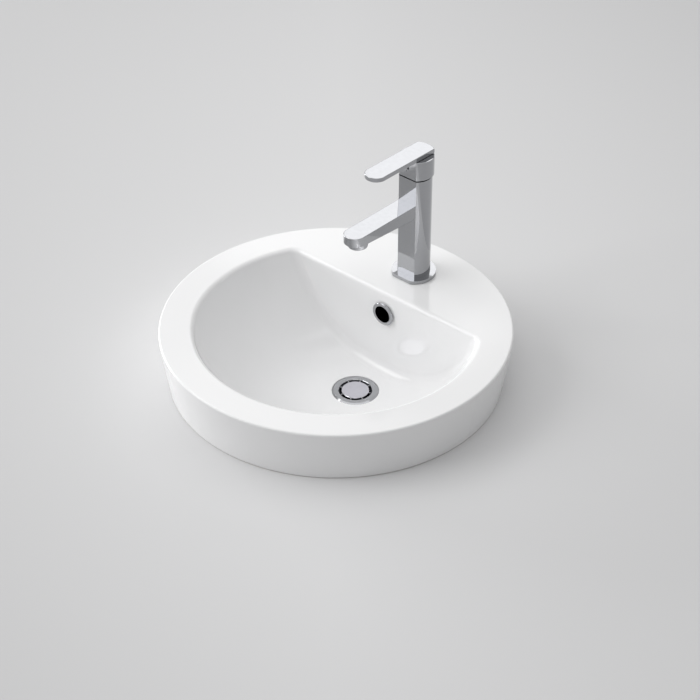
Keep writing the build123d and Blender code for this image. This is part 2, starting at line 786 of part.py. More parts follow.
def make_cap():
    """D-shaped cap over the column, with the socket for the stem and the set screw's hole."""
    low = handle_bottom_z
    flat = column_flat + handle_shift
    cap = d_prism(handle_radius, flat, low, handle_top_z + lever_thickness, handle_y)
    cap -= tilted_slab(4 * handle_radius, 0, 2 * lever_thickness)
    cap = fillet(cap.faces().sort_by(Axis.Z)[-1].edges(), handle_edge)
    room = handle_radius - handle_wall
    room_top = handle_top_z - handle_top
    cap -= d_prism(room, flat - handle_wall, low - over, room_top, handle_y)

    boss_z = handle_top_z - handle_boss_height
    half = stem_width / 2 + socket_clearance
    ceiling = room_top + over
    cap += disc(handle_boss_radius, boss_z, ceiling, 0, tap_y)
    cap += block(-screw_boss_half, screw_boss_half, column_front_y + over, tap_y, boss_z, ceiling)
    socket_top = pivot_z + stem_above + socket_clearance
    cap -= block(-half, half, tap_y - half, tap_y + half, boss_z - over, socket_top)
    tunnel = Pos(0, 0, column_flat / 2) * Cylinder(screw_radius, column_flat + 2 * over)
    cap -= screw_line(0, screw_z) * tunnel
    cap -= index_dot()
    return cap


def screw_line(x, z):
    """Place on the cap's front face, looking in."""
    return Pos(x, column_front_y, z) * Rot(-90, 0, 0)


def index_dot():
    """The small mark set flush beside the set screw."""
    return screw_line(index_dot_x, screw_z + index_dot_z) * Pos(0, 0, index_dot_depth / 2) * Cylinder(
        index_dot_radius, index_dot_depth
    )


def make_screw():
    """Set screw against the stem, and the plug that closes its hole."""
    end = column_flat - stem_width / 2
    start = end - screw_length
    line = screw_line(0, screw_z)
    screw = line * Pos(0, 0, (start + end) / 2) * Cylinder(screw_radius - screw_clearance, screw_length)
    screw -= line * Pos(0, 0, start) * extrude(RegularPolygon(screw_key, 6), screw_length / 2)
    plug = line * Pos(0, 0, index_plug_depth / 2) * Cylinder(screw_radius - screw_clearance, index_plug_depth)
    return screw, plug


def make_lever():
    """Flat lever with a round tip, on a narrower neck that meets the cap's sloping top."""
    tip = tap_y - lever_reach
    half = column_half_flat
    low = handle_bottom_z
    high = handle_top_z + 4 * lever_thickness
    back = handle_y + handle_radius
    outline = block(-half, half, tip + half, back, low, high) + disc(half, low, high, 0, tip + half)
    keep = disc(handle_radius, low, high, 0, handle_y) + block(-half, half, tip, handle_y, low, high)
    lever = outline & keep & tilted_slab(3 * lever_reach, lever_gap, lever_gap + lever_thickness)
    rims = [e for e in lever.edges() if e.length > column_half_flat and runs_level(e)]
    lever = fillet(rims, column_edge)
    neck_half = lever_neck_width / 2
    neck_front = column_front_y + lever_neck_inset
    neck = block(-neck_half, neck_half, neck_front, back - 2 * lever_neck_inset, low, high)
    return lever + (neck & tilted_slab(4 * handle_radius, 0, lever_gap + lever_thickness / 2))


def main():
    pieces = {"basin": make_basin(), "overflow_ring": make_overflow_ring(), "waste_body": make_waste_body()}
    seals = ("waste_top_gasket", "waste_bottom_gasket", "waste_slip_ring", "waste_back_nut")
    pieces.update(zip(seals, make_waste_seals()))
    pieces.update(zip(("plug_cap", "plug_strainer", "plug_seal", "plug_stem"), make_plug()))
    pieces.update(zip(("latch_housing", "latch_spring"), make_latch()))
    pieces["mixer_body"] = make_mixer_body()
    pieces.update(zip(("base_flange", "base_seal"), make_foot()))
    pieces.update(zip(("aerator_housing", "aerator_core", "aerator_seal"), make_aerator()))
    clamp = ("mounting_stud", "horseshoe_seal", "horseshoe_plate", "mounting_nut")
    pieces.update(zip(clamp, make_clamp()))
    pieces.update(zip(("cartridge_body", "cartridge_seals", "disc_fixed", "cartridge_nut"), make_cartridge()))
    pieces.update(zip(("disc_moving", "disc_carrier"), make_moving_disc()))
    pieces.update(zip(("cartridge_carriage", "pivot_pin", "cartridge_stem"), make_stem()))
    pieces["handle_cap"] = make_cap()
    pieces["lever_plate"] = make_lever()
    pieces.update(zip(("handle_screw", "index_plug"), make_screw()))
    pieces["index_dot"] = index_dot()
    os.makedirs("parts", exist_ok=True)
    for name, shape in pieces.items():
        solids = shape.solids()
        print(name, "solids", len(solids), "volume", round(sum(s.volume for s in solids), 2))
        export_step(shape, "parts/" + name + ".step")


main()
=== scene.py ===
"""Round inset basin with its push waste and mixer: finishes, fine detail and a plain studio."""

import json
import math

import bmesh
import bpy
from bpy.props import FloatProperty, FloatVectorProperty, PointerProperty
from bpy.types import Operator, Panel, PropertyGroup
from mathutils import Matrix, Vector


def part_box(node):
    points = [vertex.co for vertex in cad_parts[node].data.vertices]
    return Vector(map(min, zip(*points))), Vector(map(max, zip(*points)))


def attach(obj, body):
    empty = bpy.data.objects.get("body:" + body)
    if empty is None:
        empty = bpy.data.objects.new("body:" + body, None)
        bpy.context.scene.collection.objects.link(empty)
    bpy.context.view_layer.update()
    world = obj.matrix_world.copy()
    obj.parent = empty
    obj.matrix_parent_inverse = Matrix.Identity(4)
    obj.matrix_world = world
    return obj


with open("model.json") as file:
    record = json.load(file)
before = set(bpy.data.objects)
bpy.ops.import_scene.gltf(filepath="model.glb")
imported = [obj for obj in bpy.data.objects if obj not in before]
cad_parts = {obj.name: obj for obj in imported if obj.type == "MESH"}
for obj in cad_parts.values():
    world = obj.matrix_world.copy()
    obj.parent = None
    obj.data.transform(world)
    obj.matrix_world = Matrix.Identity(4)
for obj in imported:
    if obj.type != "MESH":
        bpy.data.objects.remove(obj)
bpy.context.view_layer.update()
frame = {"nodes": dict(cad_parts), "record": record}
NODES = frame["nodes"]

bl_info = {
    "name": "Inset basin",
    "version": (1, 0, 0),
    "blender": (4, 5, 0),
    "location": "3D View > Sidebar > Inset basin",
    "description": "Dresses the inset basin, its waste and its mixer, and sets up a plain studio",
    "category": "Object",
}


# Where noise mostly lies between 0 and 1, so that a mask uses its whole range
NOISE_LOW = 0.3
NOISE_HIGH = 0.7

# Sockets of the Mix node when it mixes colours
MIX_MASK = 0
MIX_FIRST = 6
MIX_SECOND = 7
MIX_RESULT = 2

# Darkest and lightest share of a finish's colour
GLAZE_SHADES = (0.992, 1.0)
METAL_SHADES = (0.97, 1.02)
SLOTTED_SHADES = (0.97, 1.0)
MOULDED_SHADES = (0.92, 1.06)

# Share by which noise moves the roughness of metal, and that of glaze and mouldings
METAL_SWING = 0.3
GRAIN_SWING = 0.15

# Glaze: a bare band at the foot of the rim, and the box of painted shade in the overflow channel, in metres
BARE_TOP = 0.0011
BARE_LOW = 0.0004
BARE_WIDTH = 0.03
BARE_ROUGHNESS = 0.85
WATERWAY_HALF_WIDTH = 0.0215
WATERWAY_DEPTH = 0.014
WATERWAY_HEADROOM = 0.001
WATERWAY_RISE = 0.011

# Plug: painted shade in the slots darkens between these depths under the ribs' tops
SLOT_SHALLOW = 0.0001
SLOT_DEEP = 0.0006

# Threads: steps in a turn, corners of a ridge, and turns left free below the nut
THREAD_STEPS = 48
THREAD_CORNERS = 4
THREAD_RUN_OUT = 2

# Wire mesh: sides of a wire, its length before half a chord scales it, and the edge left free
MESH_WIRE_SIDES = 6
MESH_WIRE_LENGTH = 2.0
MESH_MARGIN = 0.0016

# Polish marks of the metals
CHROME_MARKS = {"Stretch": 12.0, "Scale": 160.0, "Height": 0.0000012}
BRASS_MARKS = {"Stretch": 30.0, "Scale": 90.0, "Height": 0.000006}
STEEL_MARKS = {"Stretch": 4.0, "Scale": 220.0, "Height": 0.000006}

# Camera: width of its sensor in millimetres, and how far it sees in metres
SENSOR_WIDTH = 36.0
CLIP_END = 100.0

# Floor: near and far shares of its colour, painted lighter in the middle as a painted pool of light, away
# from and on its side of painted shade
FLOOR_POOL_UNSHADED = (1.05, 0.93)
FLOOR_POOL_SHADED = (0.84, 0.74)

# Floor: rings, painted pool of light in the middle, painted shade to one side and far fade, in metres
FLOOR_UNDER_RIM = 0.016
FLOOR_RINGS = (0.6, 2.0, 12.0)
FLOOR_STEPS = 128
FLOOR_POOL_RADII = (0.2, 1.2)
FLOOR_FADE = (1.25, 2.0)
FLOOR_PAINTED_SHADE_WAY = (-0.76, -0.65, 0.0)
FLOOR_PAINTED_SHADE_REACH = 0.55

# Softboxes: place, the point each one faces, width and height, in metres
BASIN_MIDDLE = (0.0, 0.0, 0.05)
TOP_BOX = ((-0.35, 0.2, 2.4), (-0.35, 0.2, 0.0), 4.0, 4.0)
MIRROR_BOX = ((-2.35, 3.1, 2.3), (-2.35, 3.1, 0.0), 1.5, 1.5)
LEFT_BOX = ((-2.6, -0.3, 0.4), BASIN_MIDDLE, 1.6, 0.6)
FRONT_BOX = ((-2.0, -2.3, 2.3), BASIN_MIDDLE, 2.4, 2.2)


def middle(node):
    """Centre of a CAD node's box."""
    low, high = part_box(node)
    return (low + high) / 2


class InsetBasinFinishes(PropertyGroup):
    """Colours and gloss of the basin's finishes."""

    glaze: FloatVectorProperty(name="Glaze", description="White of the glazed china",
                               subtype="COLOR", size=3, min=0, max=1, default=(0.895, 0.896, 0.9))
    glaze_roughness: FloatProperty(name="Glaze roughness", description="Gloss of the glaze",
                                   subtype="FACTOR", min=0, max=1, default=0.1)
    biscuit: FloatVectorProperty(name="Biscuit", description="Unglazed china under the rim",
                                 subtype="COLOR", size=3, min=0, max=1, default=(0.72, 0.68, 0.61))
    chrome: FloatVectorProperty(name="Chrome", description="Reflectance of the chrome plate",
                                subtype="COLOR", size=3, min=0, max=1, default=(0.405, 0.41, 0.425))
    chrome_roughness: FloatProperty(name="Chrome roughness", description="Polish of the chrome plate",
                                    subtype="FACTOR", min=0, max=1, default=0.04)
    disc: FloatVectorProperty(name="Disc", description="Reflectance of the plug's lighter disc",
                              subtype="COLOR", size=3, min=0, max=1, default=(0.58, 0.575, 0.62))
    # Painted shade: near-black colour painted down in the plug's slots, where they lie in shade
    slots: FloatVectorProperty(name="Slots", description="Dark chrome down in the plug's slots",
                               subtype="COLOR", size=3, min=0, max=1, default=(0.05, 0.052, 0.058))
    # Painted shade: near-black colour painted inside the overflow channel, where it lies in shade
    painted_channel_shade: FloatVectorProperty(name="Waterway", description="Dark inside of the overflow channel",
                                  subtype="COLOR", size=3, min=0, max=1, default=(0.006, 0.006, 0.006))
    brass: FloatVectorProperty(name="Brass", description="Machined brass of the nuts", subtype="COLOR",
                               size=3, min=0, max=1, default=(0.72, 0.53, 0.24))
    steel: FloatVectorProperty(name="Steel", description="Plated steel of the stud and pins",
                               subtype="COLOR", size=3, min=0, max=1, default=(0.55, 0.55, 0.56))
    rubber: FloatVectorProperty(name="Rubber", description="Black rubber of the seals", subtype="COLOR",
                                size=3, min=0, max=1, default=(0.018, 0.018, 0.019))
    silicone: FloatVectorProperty(name="Silicone", description="Milky washer under the flange",
                                  subtype="COLOR", size=3, min=0, max=1, default=(0.62, 0.62, 0.6))
    white_plastic: FloatVectorProperty(name="White plastic", description="Moulded white plastic",
                                       subtype="COLOR", size=3, min=0, max=1, default=(0.78, 0.78, 0.76))
    grey_plastic: FloatVectorProperty(name="Grey plastic", description="Moulded grey plastic",
                                      subtype="COLOR", size=3, min=0, max=1, default=(0.12, 0.125, 0.13))
    black_plastic: FloatVectorProperty(name="Black plastic", description="Plug of the set screw",
                                       subtype="COLOR", size=3, min=0, max=1, default=(0.012, 0.013, 0.016))
    alumina: FloatVectorProperty(name="Alumina", description="Lapped ceramic discs of the cartridge",
                                 subtype="COLOR", size=3, min=0, max=1, default=(0.8, 0.78, 0.73))


class InsetBasinDetail(PropertyGroup):
    """Sizes of the threads and of the aerator's wire mesh."""

    waste_pitch: FloatProperty(name="Waste pitch", description="Rise of the waste's thread in one turn",
                               subtype="DISTANCE", unit="LENGTH", default=0.00231)
    stud_pitch: FloatProperty(name="Stud pitch", description="Rise of the stud's thread in one turn",
                              subtype="DISTANCE", unit="LENGTH", default=0.00125)
    thread_share: FloatProperty(name="Thread share",
                                description="Half-width of a ridge as a share of the pitch",
                                subtype="FACTOR", min=0.1, max=0.5, default=0.3)
    wire: FloatProperty(name="Wire", description="Radius of the aerator's mesh wires", subtype="DISTANCE",
                        unit="LENGTH", default=0.00012)
    mesh_pitch: FloatProperty(name="Mesh pitch", description="Distance between the aerator's mesh wires",
                              subtype="DISTANCE", unit="LENGTH", default=0.0007)


class InsetBasinStudio(PropertyGroup):
    """Camera, lamps and floor of the studio."""

    azimuth: FloatProperty(name="Azimuth", description="Camera's way round the basin from its front",
                           subtype="ANGLE", default=math.radians(40.732))
    elevation: FloatProperty(name="Elevation", description="Camera's height above the worktop",
                             subtype="ANGLE", default=math.radians(36.518))
    distance: FloatProperty(name="Distance", description="Camera's distance from its target",
                            subtype="DISTANCE", unit="LENGTH", default=2.84525)
    target: FloatVectorProperty(name="Target", description="Point that the camera looks at",
                                subtype="XYZ", unit="LENGTH", size=3, default=(-0.017017, 0.04695, 0.0))
    lens: FloatProperty(name="Lens", description="Focal length in millimetres", default=111.398)
    floor: FloatVectorProperty(name="Floor", description="Colour of the pale floor", subtype="COLOR",
                               size=3, min=0, max=1, default=(0.7, 0.7, 0.705))
    top_light: FloatProperty(name="Top light", description="Power of the overhead softbox in watts",
                             min=0, default=42.0)
    mirror_light: FloatProperty(name="Mirror light",
                                description="Power in watts of the softbox that the lever mirrors",
                                min=0, default=10.0)
    side_light: FloatProperty(name="Side light", description="Power of the softbox at the left in watts",
                              min=0, default=43.0)
    front_light: FloatProperty(name="Front light", description="Power of the softbox at the front in watts",
                               min=0, default=50.0)
    sky: FloatProperty(name="Sky", description="Strength of the even light from all round", min=0,
                       default=0.3)
    horizon: FloatProperty(name="Horizon", description="Brightness of the far background", min=0, max=1,
                           default=0.62)


def finishes():
    """The scene's colours and gloss."""
    return bpy.context.scene.inset_basin_finishes


def detail():
    """The scene's sizes of fine detail."""
    return bpy.context.scene.inset_basin_detail


def studio():
    """The scene's camera, lamps and floor."""
    return bpy.context.scene.inset_basin_studio


# Shader building

def add(tree, kind, inputs=None, **settings):
    """New shader node, with its sockets set to values or linked to other sockets."""
    made = tree.nodes.new(kind)
    for name, value in settings.items():
        setattr(made, name, value)
    for name, value in (inputs or {}).items():
        socket = made.inputs[name]
        if isinstance(value, bpy.types.NodeSocket):
            tree.links.new(value, socket)
        else:
            socket.default_value = value
    return made


def new_group(name, inputs, outputs):
    """Empty shader group with these float inputs and these outputs."""
    group = bpy.data.node_groups.new(name, "ShaderNodeTree")
    for label, value in inputs.items():
        socket = group.interface.new_socket(label, in_out="INPUT", socket_type="NodeSocketFloat")
        socket.default_value = value
    for label, kind in outputs.items():
        group.interface.new_socket(label, in_out="OUTPUT", socket_type=kind)
    return group, group.nodes.new("NodeGroupInput"), group.nodes.new("NodeGroupOutput")


def mottle_group():
    """Slow patches and a fine grain, each as a mask from 0 to 1, and both as an uneven normal."""
    known = bpy.data.node_groups.get("Basin mottle")
    if known:
        return known
    group, given, out = new_group(
        "Basin mottle",
        {"Patch scale": 12.0, "Grain scale": 400.0, "Patch height": 0.0002, "Grain height": 0.00001},
        {"Patches": "NodeSocketFloat", "Grain": "NodeSocketFloat", "Normal": "NodeSocketVector"},
    )
    place = add(group, "ShaderNodeTexCoord").outputs["Object"]
    patches = add(group, "ShaderNodeTexNoise",
                  {"Vector": place, "Scale": given.outputs["Patch scale"], "Detail": 2.0, "Roughness": 0.5})
    grain = add(group, "ShaderNodeTexNoise",
                {"Vector": place, "Scale": given.outputs["Grain scale"], "Detail": 3.0, "Roughness": 0.6})
    slow = add(group, "ShaderNodeBump", {"Strength": 1.0, "Distance": given.outputs["Patch height"],
                                         "Height": patches.outputs["Fac"]})
    fine = add(group, "ShaderNodeBump", {"Strength": 1.0, "Distance": given.outputs["Grain height"],
                                         "Height": grain.outputs["Fac"], "Normal": slow.outputs["Normal"]})
    group.links.new(patches.outputs["Fac"], out.inputs["Patches"])
    group.links.new(grain.outputs["Fac"], out.inputs["Grain"])
    group.links.new(fine.outputs["Normal"], out.inputs["Normal"])
    return group


def polish_group():
    """Faint marks left by polishing and wiping, as a mask from 0 to 1 and a normal."""
    known = bpy.data.node_groups.get("Basin polish marks")
    if known:
        return known
    group, given, out = new_group(
        "Basin polish marks",
        {"Stretch": 12.0, "Scale": 160.0, "Height": 0.000002},
        {"Marks": "NodeSocketFloat", "Normal": "NodeSocketVector"},
    )
    place = add(group, "ShaderNodeTexCoord").outputs["Object"]
    longer = add(group, "ShaderNodeCombineXYZ", {"X": 1.0, "Y": 1.0, "Z": given.outputs["Stretch"]})
    stretched = add(group, "ShaderNodeVectorMath", {0: place, 1: longer.outputs["Vector"]},
                    operation="MULTIPLY")
    marks = add(group, "ShaderNodeTexNoise", {"Vector": stretched.outputs["Vector"],
                                              "Scale": given.outputs["Scale"], "Detail": 4.0})
    bump = add(group, "ShaderNodeBump", {"Strength": 1.0, "Distance": given.outputs["Height"],
                                         "Height": marks.outputs["Fac"]})
    group.links.new(marks.outputs["Fac"], out.inputs["Marks"])
    group.links.new(bump.outputs["Normal"], out.inputs["Normal"])
    return group


def use_group(tree, group, inputs):
    """Outputs of a shared group placed in a material with its own values."""
    return add(tree, "ShaderNodeGroup", inputs, node_tree=group).outputs


def span(tree, value, low, high):
    """Spread a noise mask over a range."""
    made = add(tree, "ShaderNodeMapRange", {"Value": value, "From Min": NOISE_LOW, "From Max": NOISE_HIGH,
                                            "To Min": low, "To Max": high})
    return made.outputs["Result"]


def blend(tree, mask, first, second):
    """Mix of two colours: the first where the mask is 0, the second where it is 1."""
    made = add(tree, "ShaderNodeMix", data_type="RGBA")
    tree.links.new(mask, made.inputs[MIX_MASK])
    for index, colour in ((MIX_FIRST, first), (MIX_SECOND, second)):
        if isinstance(colour, bpy.types.NodeSocket):
            tree.links.new(colour, made.inputs[index])
        else:
            made.inputs[index].default_value = (*colour[:3], 1.0)
    return made.outputs[MIX_RESULT]


def inside(tree, place, low, high):
    """Mask that is 1 inside a box given in Object coordinates."""
    centre = (Vector(low) + Vector(high)) / 2
    half = (Vector(high) - Vector(low)) / 2
    moved = add(tree, "ShaderNodeVectorMath", {0: place, 1: centre}, operation="SUBTRACT").outputs["Vector"]
    scaled = add(tree, "ShaderNodeVectorMath", {0: moved, 1: half}, operation="DIVIDE").outputs["Vector"]
    size = add(tree, "ShaderNodeVectorMath", {0: scaled}, operation="ABSOLUTE").outputs["Vector"]
    parts = add(tree, "ShaderNodeSeparateXYZ", {"Vector": size}).outputs
    wide = add(tree, "ShaderNodeMath", {0: parts["X"], 1: parts["Y"]}, operation="MAXIMUM").outputs["Value"]
    widest = add(tree, "ShaderNodeMath", {0: wide, 1: parts["Z"]}, operation="MAXIMUM").outputs["Value"]
    return add(tree, "ShaderNodeMath", {0: widest, 1: 1.0}, operation="LESS_THAN").outputs["Value"]


def shade(colour, factor):
    """Colour made darker or lighter by a factor."""
    return tuple(min(1.0, part * factor) for part in colour[:3])


def mottled(tree, mask, colour, shades):
    """Colour that noise moves between its darkest and lightest share."""
    dark, light = shades
    return blend(tree, span(tree, mask, 0.0, 1.0), shade(colour, dark), shade(colour, light))


def uneven(tree, mask, roughness, swing):
    """Roughness that noise moves to either side by a share of itself."""
    return span(tree, mask, roughness * (1 - swing), min(1.0, roughness * (1 + swing)))


def new_material(name):
    """Material with an empty Principled shader wired to its output."""
    material = bpy.data.materials.new(name)
    material.use_nodes = True
    tree = material.node_tree
    tree.nodes.clear()
    shader = tree.nodes.new("ShaderNodeBsdfPrincipled")
    output = tree.nodes.new("ShaderNodeOutputMaterial")
    tree.links.new(shader.outputs["BSDF"], output.inputs["Surface"])
    return material, tree, shader


def glazed_china():
    """Glossy white glaze, a little uneven, bare where the rim stands, with painted shade in the overflow
    channel.
    """
    known = bpy.data.materials.get("Glazed china")
    if known:
        return known
    chosen = finishes()
    material, tree, shader = new_material("Glazed china")
    mottle = use_group(tree, mottle_group(), {"Patch scale": 9.0, "Grain scale": 900.0,
                                              "Patch height": 0.00012, "Grain height": 0.0000006})
    colour = mottled(tree, mottle["Patches"], chosen.glaze, GLAZE_SHADES)
    place = add(tree, "ShaderNodeTexCoord").outputs["Object"]
    parts = add(tree, "ShaderNodeSeparateXYZ", {"Vector": place}).outputs
    flat = add(tree, "ShaderNodeCombineXYZ", {"X": parts["X"], "Y": parts["Y"]}).outputs["Vector"]
    reach = add(tree, "ShaderNodeVectorMath", {0: flat}, operation="LENGTH").outputs["Value"]
    low = add(tree, "ShaderNodeMapRange", {"Value": parts["Z"], "From Min": BARE_TOP, "From Max": BARE_LOW})
    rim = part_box("basin")[1].x - BARE_WIDTH
    outside = add(tree, "ShaderNodeMath", {0: reach, 1: rim}, operation="GREATER_THAN")
    bare = add(tree, "ShaderNodeMath", {0: low.outputs["Result"], 1: outside.outputs["Value"]},
               operation="MULTIPLY").outputs["Value"]
    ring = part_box("overflow_ring")
    washer_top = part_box("waste_bottom_gasket")[1].z
    # Painted shade: inside this box in the overflow channel the glaze is painted near black
    shade_box_low = Vector((-WATERWAY_HALF_WIDTH, ring[1].y, washer_top + WATERWAY_RISE))
    shade_box_high = Vector((WATERWAY_HALF_WIDTH, ring[1].y + WATERWAY_DEPTH, ring[1].z + WATERWAY_HEADROOM))
    channel_shade_mask = inside(tree, place, shade_box_low, shade_box_high)
    colour = blend(tree, bare, colour, chosen.biscuit)
    tree.links.new(blend(tree, channel_shade_mask, colour, chosen.painted_channel_shade), shader.inputs["Base Color"])
    gloss = uneven(tree, mottle["Grain"], chosen.glaze_roughness, GRAIN_SWING)
    rough = add(tree, "ShaderNodeMapRange", {"Value": bare, "To Min": gloss, "To Max": BARE_ROUGHNESS})
    tree.links.new(rough.outputs["Result"], shader.inputs["Roughness"])
    tree.links.new(mottle["Normal"], shader.inputs["Normal"])
    shader.inputs["IOR"].default_value = 1.5
    return material


def metal(name, colour, roughness, marked):
    """Metal with faint marks in its polish."""
    known = bpy.data.materials.get(name)
    if known:
        return known
    material, tree, shader = new_material(name)
    marks = use_group(tree, polish_group(), marked)
    tone = mottled(tree, marks["Marks"], colour, METAL_SHADES)
    tree.links.new(tone, shader.inputs["Base Color"])
    rough = uneven(tree, marks["Marks"], roughness, METAL_SWING)
    tree.links.new(rough, shader.inputs["Roughness"])
    tree.links.new(marks["Normal"], shader.inputs["Normal"])
    shader.inputs["Metallic"].default_value = 1.0
    return material


def chrome():
    """Polished plate of the mixer, its handle, the waste and the overflow ring."""
    chosen = finishes()
    return metal("Chrome plate", chosen.chrome, chosen.chrome_roughness, CHROME_MARKS)


def light_chrome():
    """Brighter, softer plate of the plug's disc."""
    return metal("Light chrome plate", finishes().disc, roughness=0.12, marked=CHROME_MARKS)


def slotted_chrome():
    """Chrome on the ribs' tops, with painted shade below them where the slots lie in shade."""
    known = bpy.data.materials.get("Slotted chrome")
    if known:
        return known
    chosen = finishes()
    material, tree, shader = new_material("Slotted chrome")
    marks = use_group(tree, polish_group(), CHROME_MARKS)
    place = add(tree, "ShaderNodeTexCoord").outputs["Object"]
    height = add(tree, "ShaderNodeSeparateXYZ", {"Vector": place}).outputs["Z"]
    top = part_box("plug_strainer")[1].z
    # Painted shade: below the ribs' tops the chrome is painted dark
    slot_shade_mask = add(tree, "ShaderNodeMapRange", {"Value": height, "From Min": top - SLOT_SHALLOW,
                                            "From Max": top - SLOT_DEEP})
    bright = mottled(tree, marks["Marks"], chosen.chrome, SLOTTED_SHADES)
    colour = blend(tree, slot_shade_mask.outputs["Result"], bright, chosen.slots)
    tree.links.new(colour, shader.inputs["Base Color"])
    tree.links.new(marks["Normal"], shader.inputs["Normal"])
    shader.inputs["Roughness"].default_value = 0.3
    shader.inputs["Metallic"].default_value = 1.0
    return material


def brass():
    """Machined brass of the nuts."""
    return metal("Machined brass", finishes().brass, roughness=0.28, marked=BRASS_MARKS)


def steel():
    """Plated steel of the stud, horseshoe, spring, pin, stem, screw and wire mesh."""
    return metal("Plated steel", finishes().steel, roughness=0.3, marked=STEEL_MARKS)


def moulded(name, colour, roughness, height=0.000012):
    """Plastic, rubber or lapped ceramic with a fine grain of this height."""
    known = bpy.data.materials.get(name)
    if known:
        return known
    material, tree, shader = new_material(name)
    mottle = use_group(tree, mottle_group(), {"Patch scale": 60.0, "Grain scale": 700.0,
                                              "Patch height": 0.00001, "Grain height": height})
    tone = mottled(tree, mottle["Patches"], colour, MOULDED_SHADES)
    tree.links.new(tone, shader.inputs["Base Color"])
    rough = uneven(tree, mottle["Grain"], roughness, GRAIN_SWING)
    tree.links.new(rough, shader.inputs["Roughness"])
    tree.links.new(mottle["Normal"], shader.inputs["Normal"])
    return material


def rubber():
    """Black rubber of the seals and the lower washer."""
    return moulded("Black rubber", finishes().rubber, roughness=0.6)


def silicone():
    """Milky silicone of the washer under the flange."""
    return moulded("Milky silicone", finishes().silicone, roughness=0.45)


def white_plastic():
    """White plastic of the slip ring, the aerator's core and the cartridge's carriage."""
    return moulded("White plastic", finishes().white_plastic, roughness=0.4)


def grey_plastic():
    """Grey plastic of the latch, the cartridge and the mark beside the set screw."""
    return moulded("Grey plastic", finishes().grey_plastic, roughness=0.42)


def black_plastic():
    """Black plastic of the plug over the set screw."""
    return moulded("Black plastic", finishes().black_plastic, roughness=0.25)


def alumina():
    """Lapped ceramic of the cartridge's discs."""
    return moulded("Lapped alumina", finishes().alumina, roughness=0.2, height=0.000002)


def coat(material, *names):
    """Give CAD nodes their finish."""
    for name in names:
        part = NODES[name]
        part.data.materials.clear()
        part.data.materials.append(material)


# Rules for what repeats

def new_rule(name, inputs):
    """Geometry Nodes tree with named inputs, a material and one geometry output."""
    tree = bpy.data.node_groups.new(name, "GeometryNodeTree")
    for label, (kind, value) in inputs.items():
        socket = tree.interface.new_socket(label, in_out="INPUT", socket_type=kind)
        socket.default_value = value
    tree.interface.new_socket("Material", in_out="INPUT", socket_type="NodeSocketMaterial")
    tree.interface.new_socket("Geometry", in_out="OUTPUT", socket_type="NodeSocketGeometry")
    return tree, tree.nodes.new("NodeGroupInput").outputs


def close_rule(tree, given, geometry):
    """Move the result to its place, make it plain and give it the material."""
    moved = add(tree, "GeometryNodeTransform", {"Geometry": geometry, "Translation": given["Place"]})
    plain = add(tree, "GeometryNodeRealizeInstances", {"Geometry": moved.outputs["Geometry"]})
    coated = add(tree, "GeometryNodeSetMaterial", {"Geometry": plain.outputs["Geometry"],
                                                   "Material": given["Material"]})
    out = tree.nodes.new("NodeGroupOutput")
    tree.links.new(coated.outputs["Geometry"], out.inputs["Geometry"])
    return tree


def thread_rule():
    """Helical ridge of a screw thread, half sunk in its rod."""
    known = bpy.data.node_groups.get("Basin thread")
    if known:
        return known
    tree, given = new_rule("Basin thread", {
        "Radius": ("NodeSocketFloat", 0.01),
        "Height": ("NodeSocketFloat", 0.02),
        "Pitch": ("NodeSocketFloat", 0.001),
        "Ridge": ("NodeSocketFloat", 0.0003),
        "Place": ("NodeSocketVector", (0.0, 0.0, 0.0)),
    })
    turns = add(tree, "ShaderNodeMath", {0: given["Height"], 1: given["Pitch"]}, operation="DIVIDE")
    helix = add(tree, "GeometryNodeCurveSpiral", {
        "Resolution": THREAD_STEPS, "Rotations": turns.outputs["Value"], "Start Radius": given["Radius"],
        "End Radius": given["Radius"], "Height": given["Height"],
    })
    upright = add(tree, "GeometryNodeSetCurveNormal", {"Curve": helix.outputs["Curve"]}, mode="Z_UP")
    profile = add(tree, "GeometryNodeCurvePrimitiveCircle", {"Resolution": THREAD_CORNERS,
                                                             "Radius": given["Ridge"]})
    ridge = add(tree, "GeometryNodeCurveToMesh", {
        "Curve": upright.outputs["Curve"], "Profile Curve": profile.outputs["Curve"], "Fill Caps": True,
    })
    flat = add(tree, "GeometryNodeSetShadeSmooth", {"Geometry": ridge.outputs["Mesh"],
                                                    "Shade Smooth": False})
    return close_rule(tree, given, flat.outputs["Geometry"])


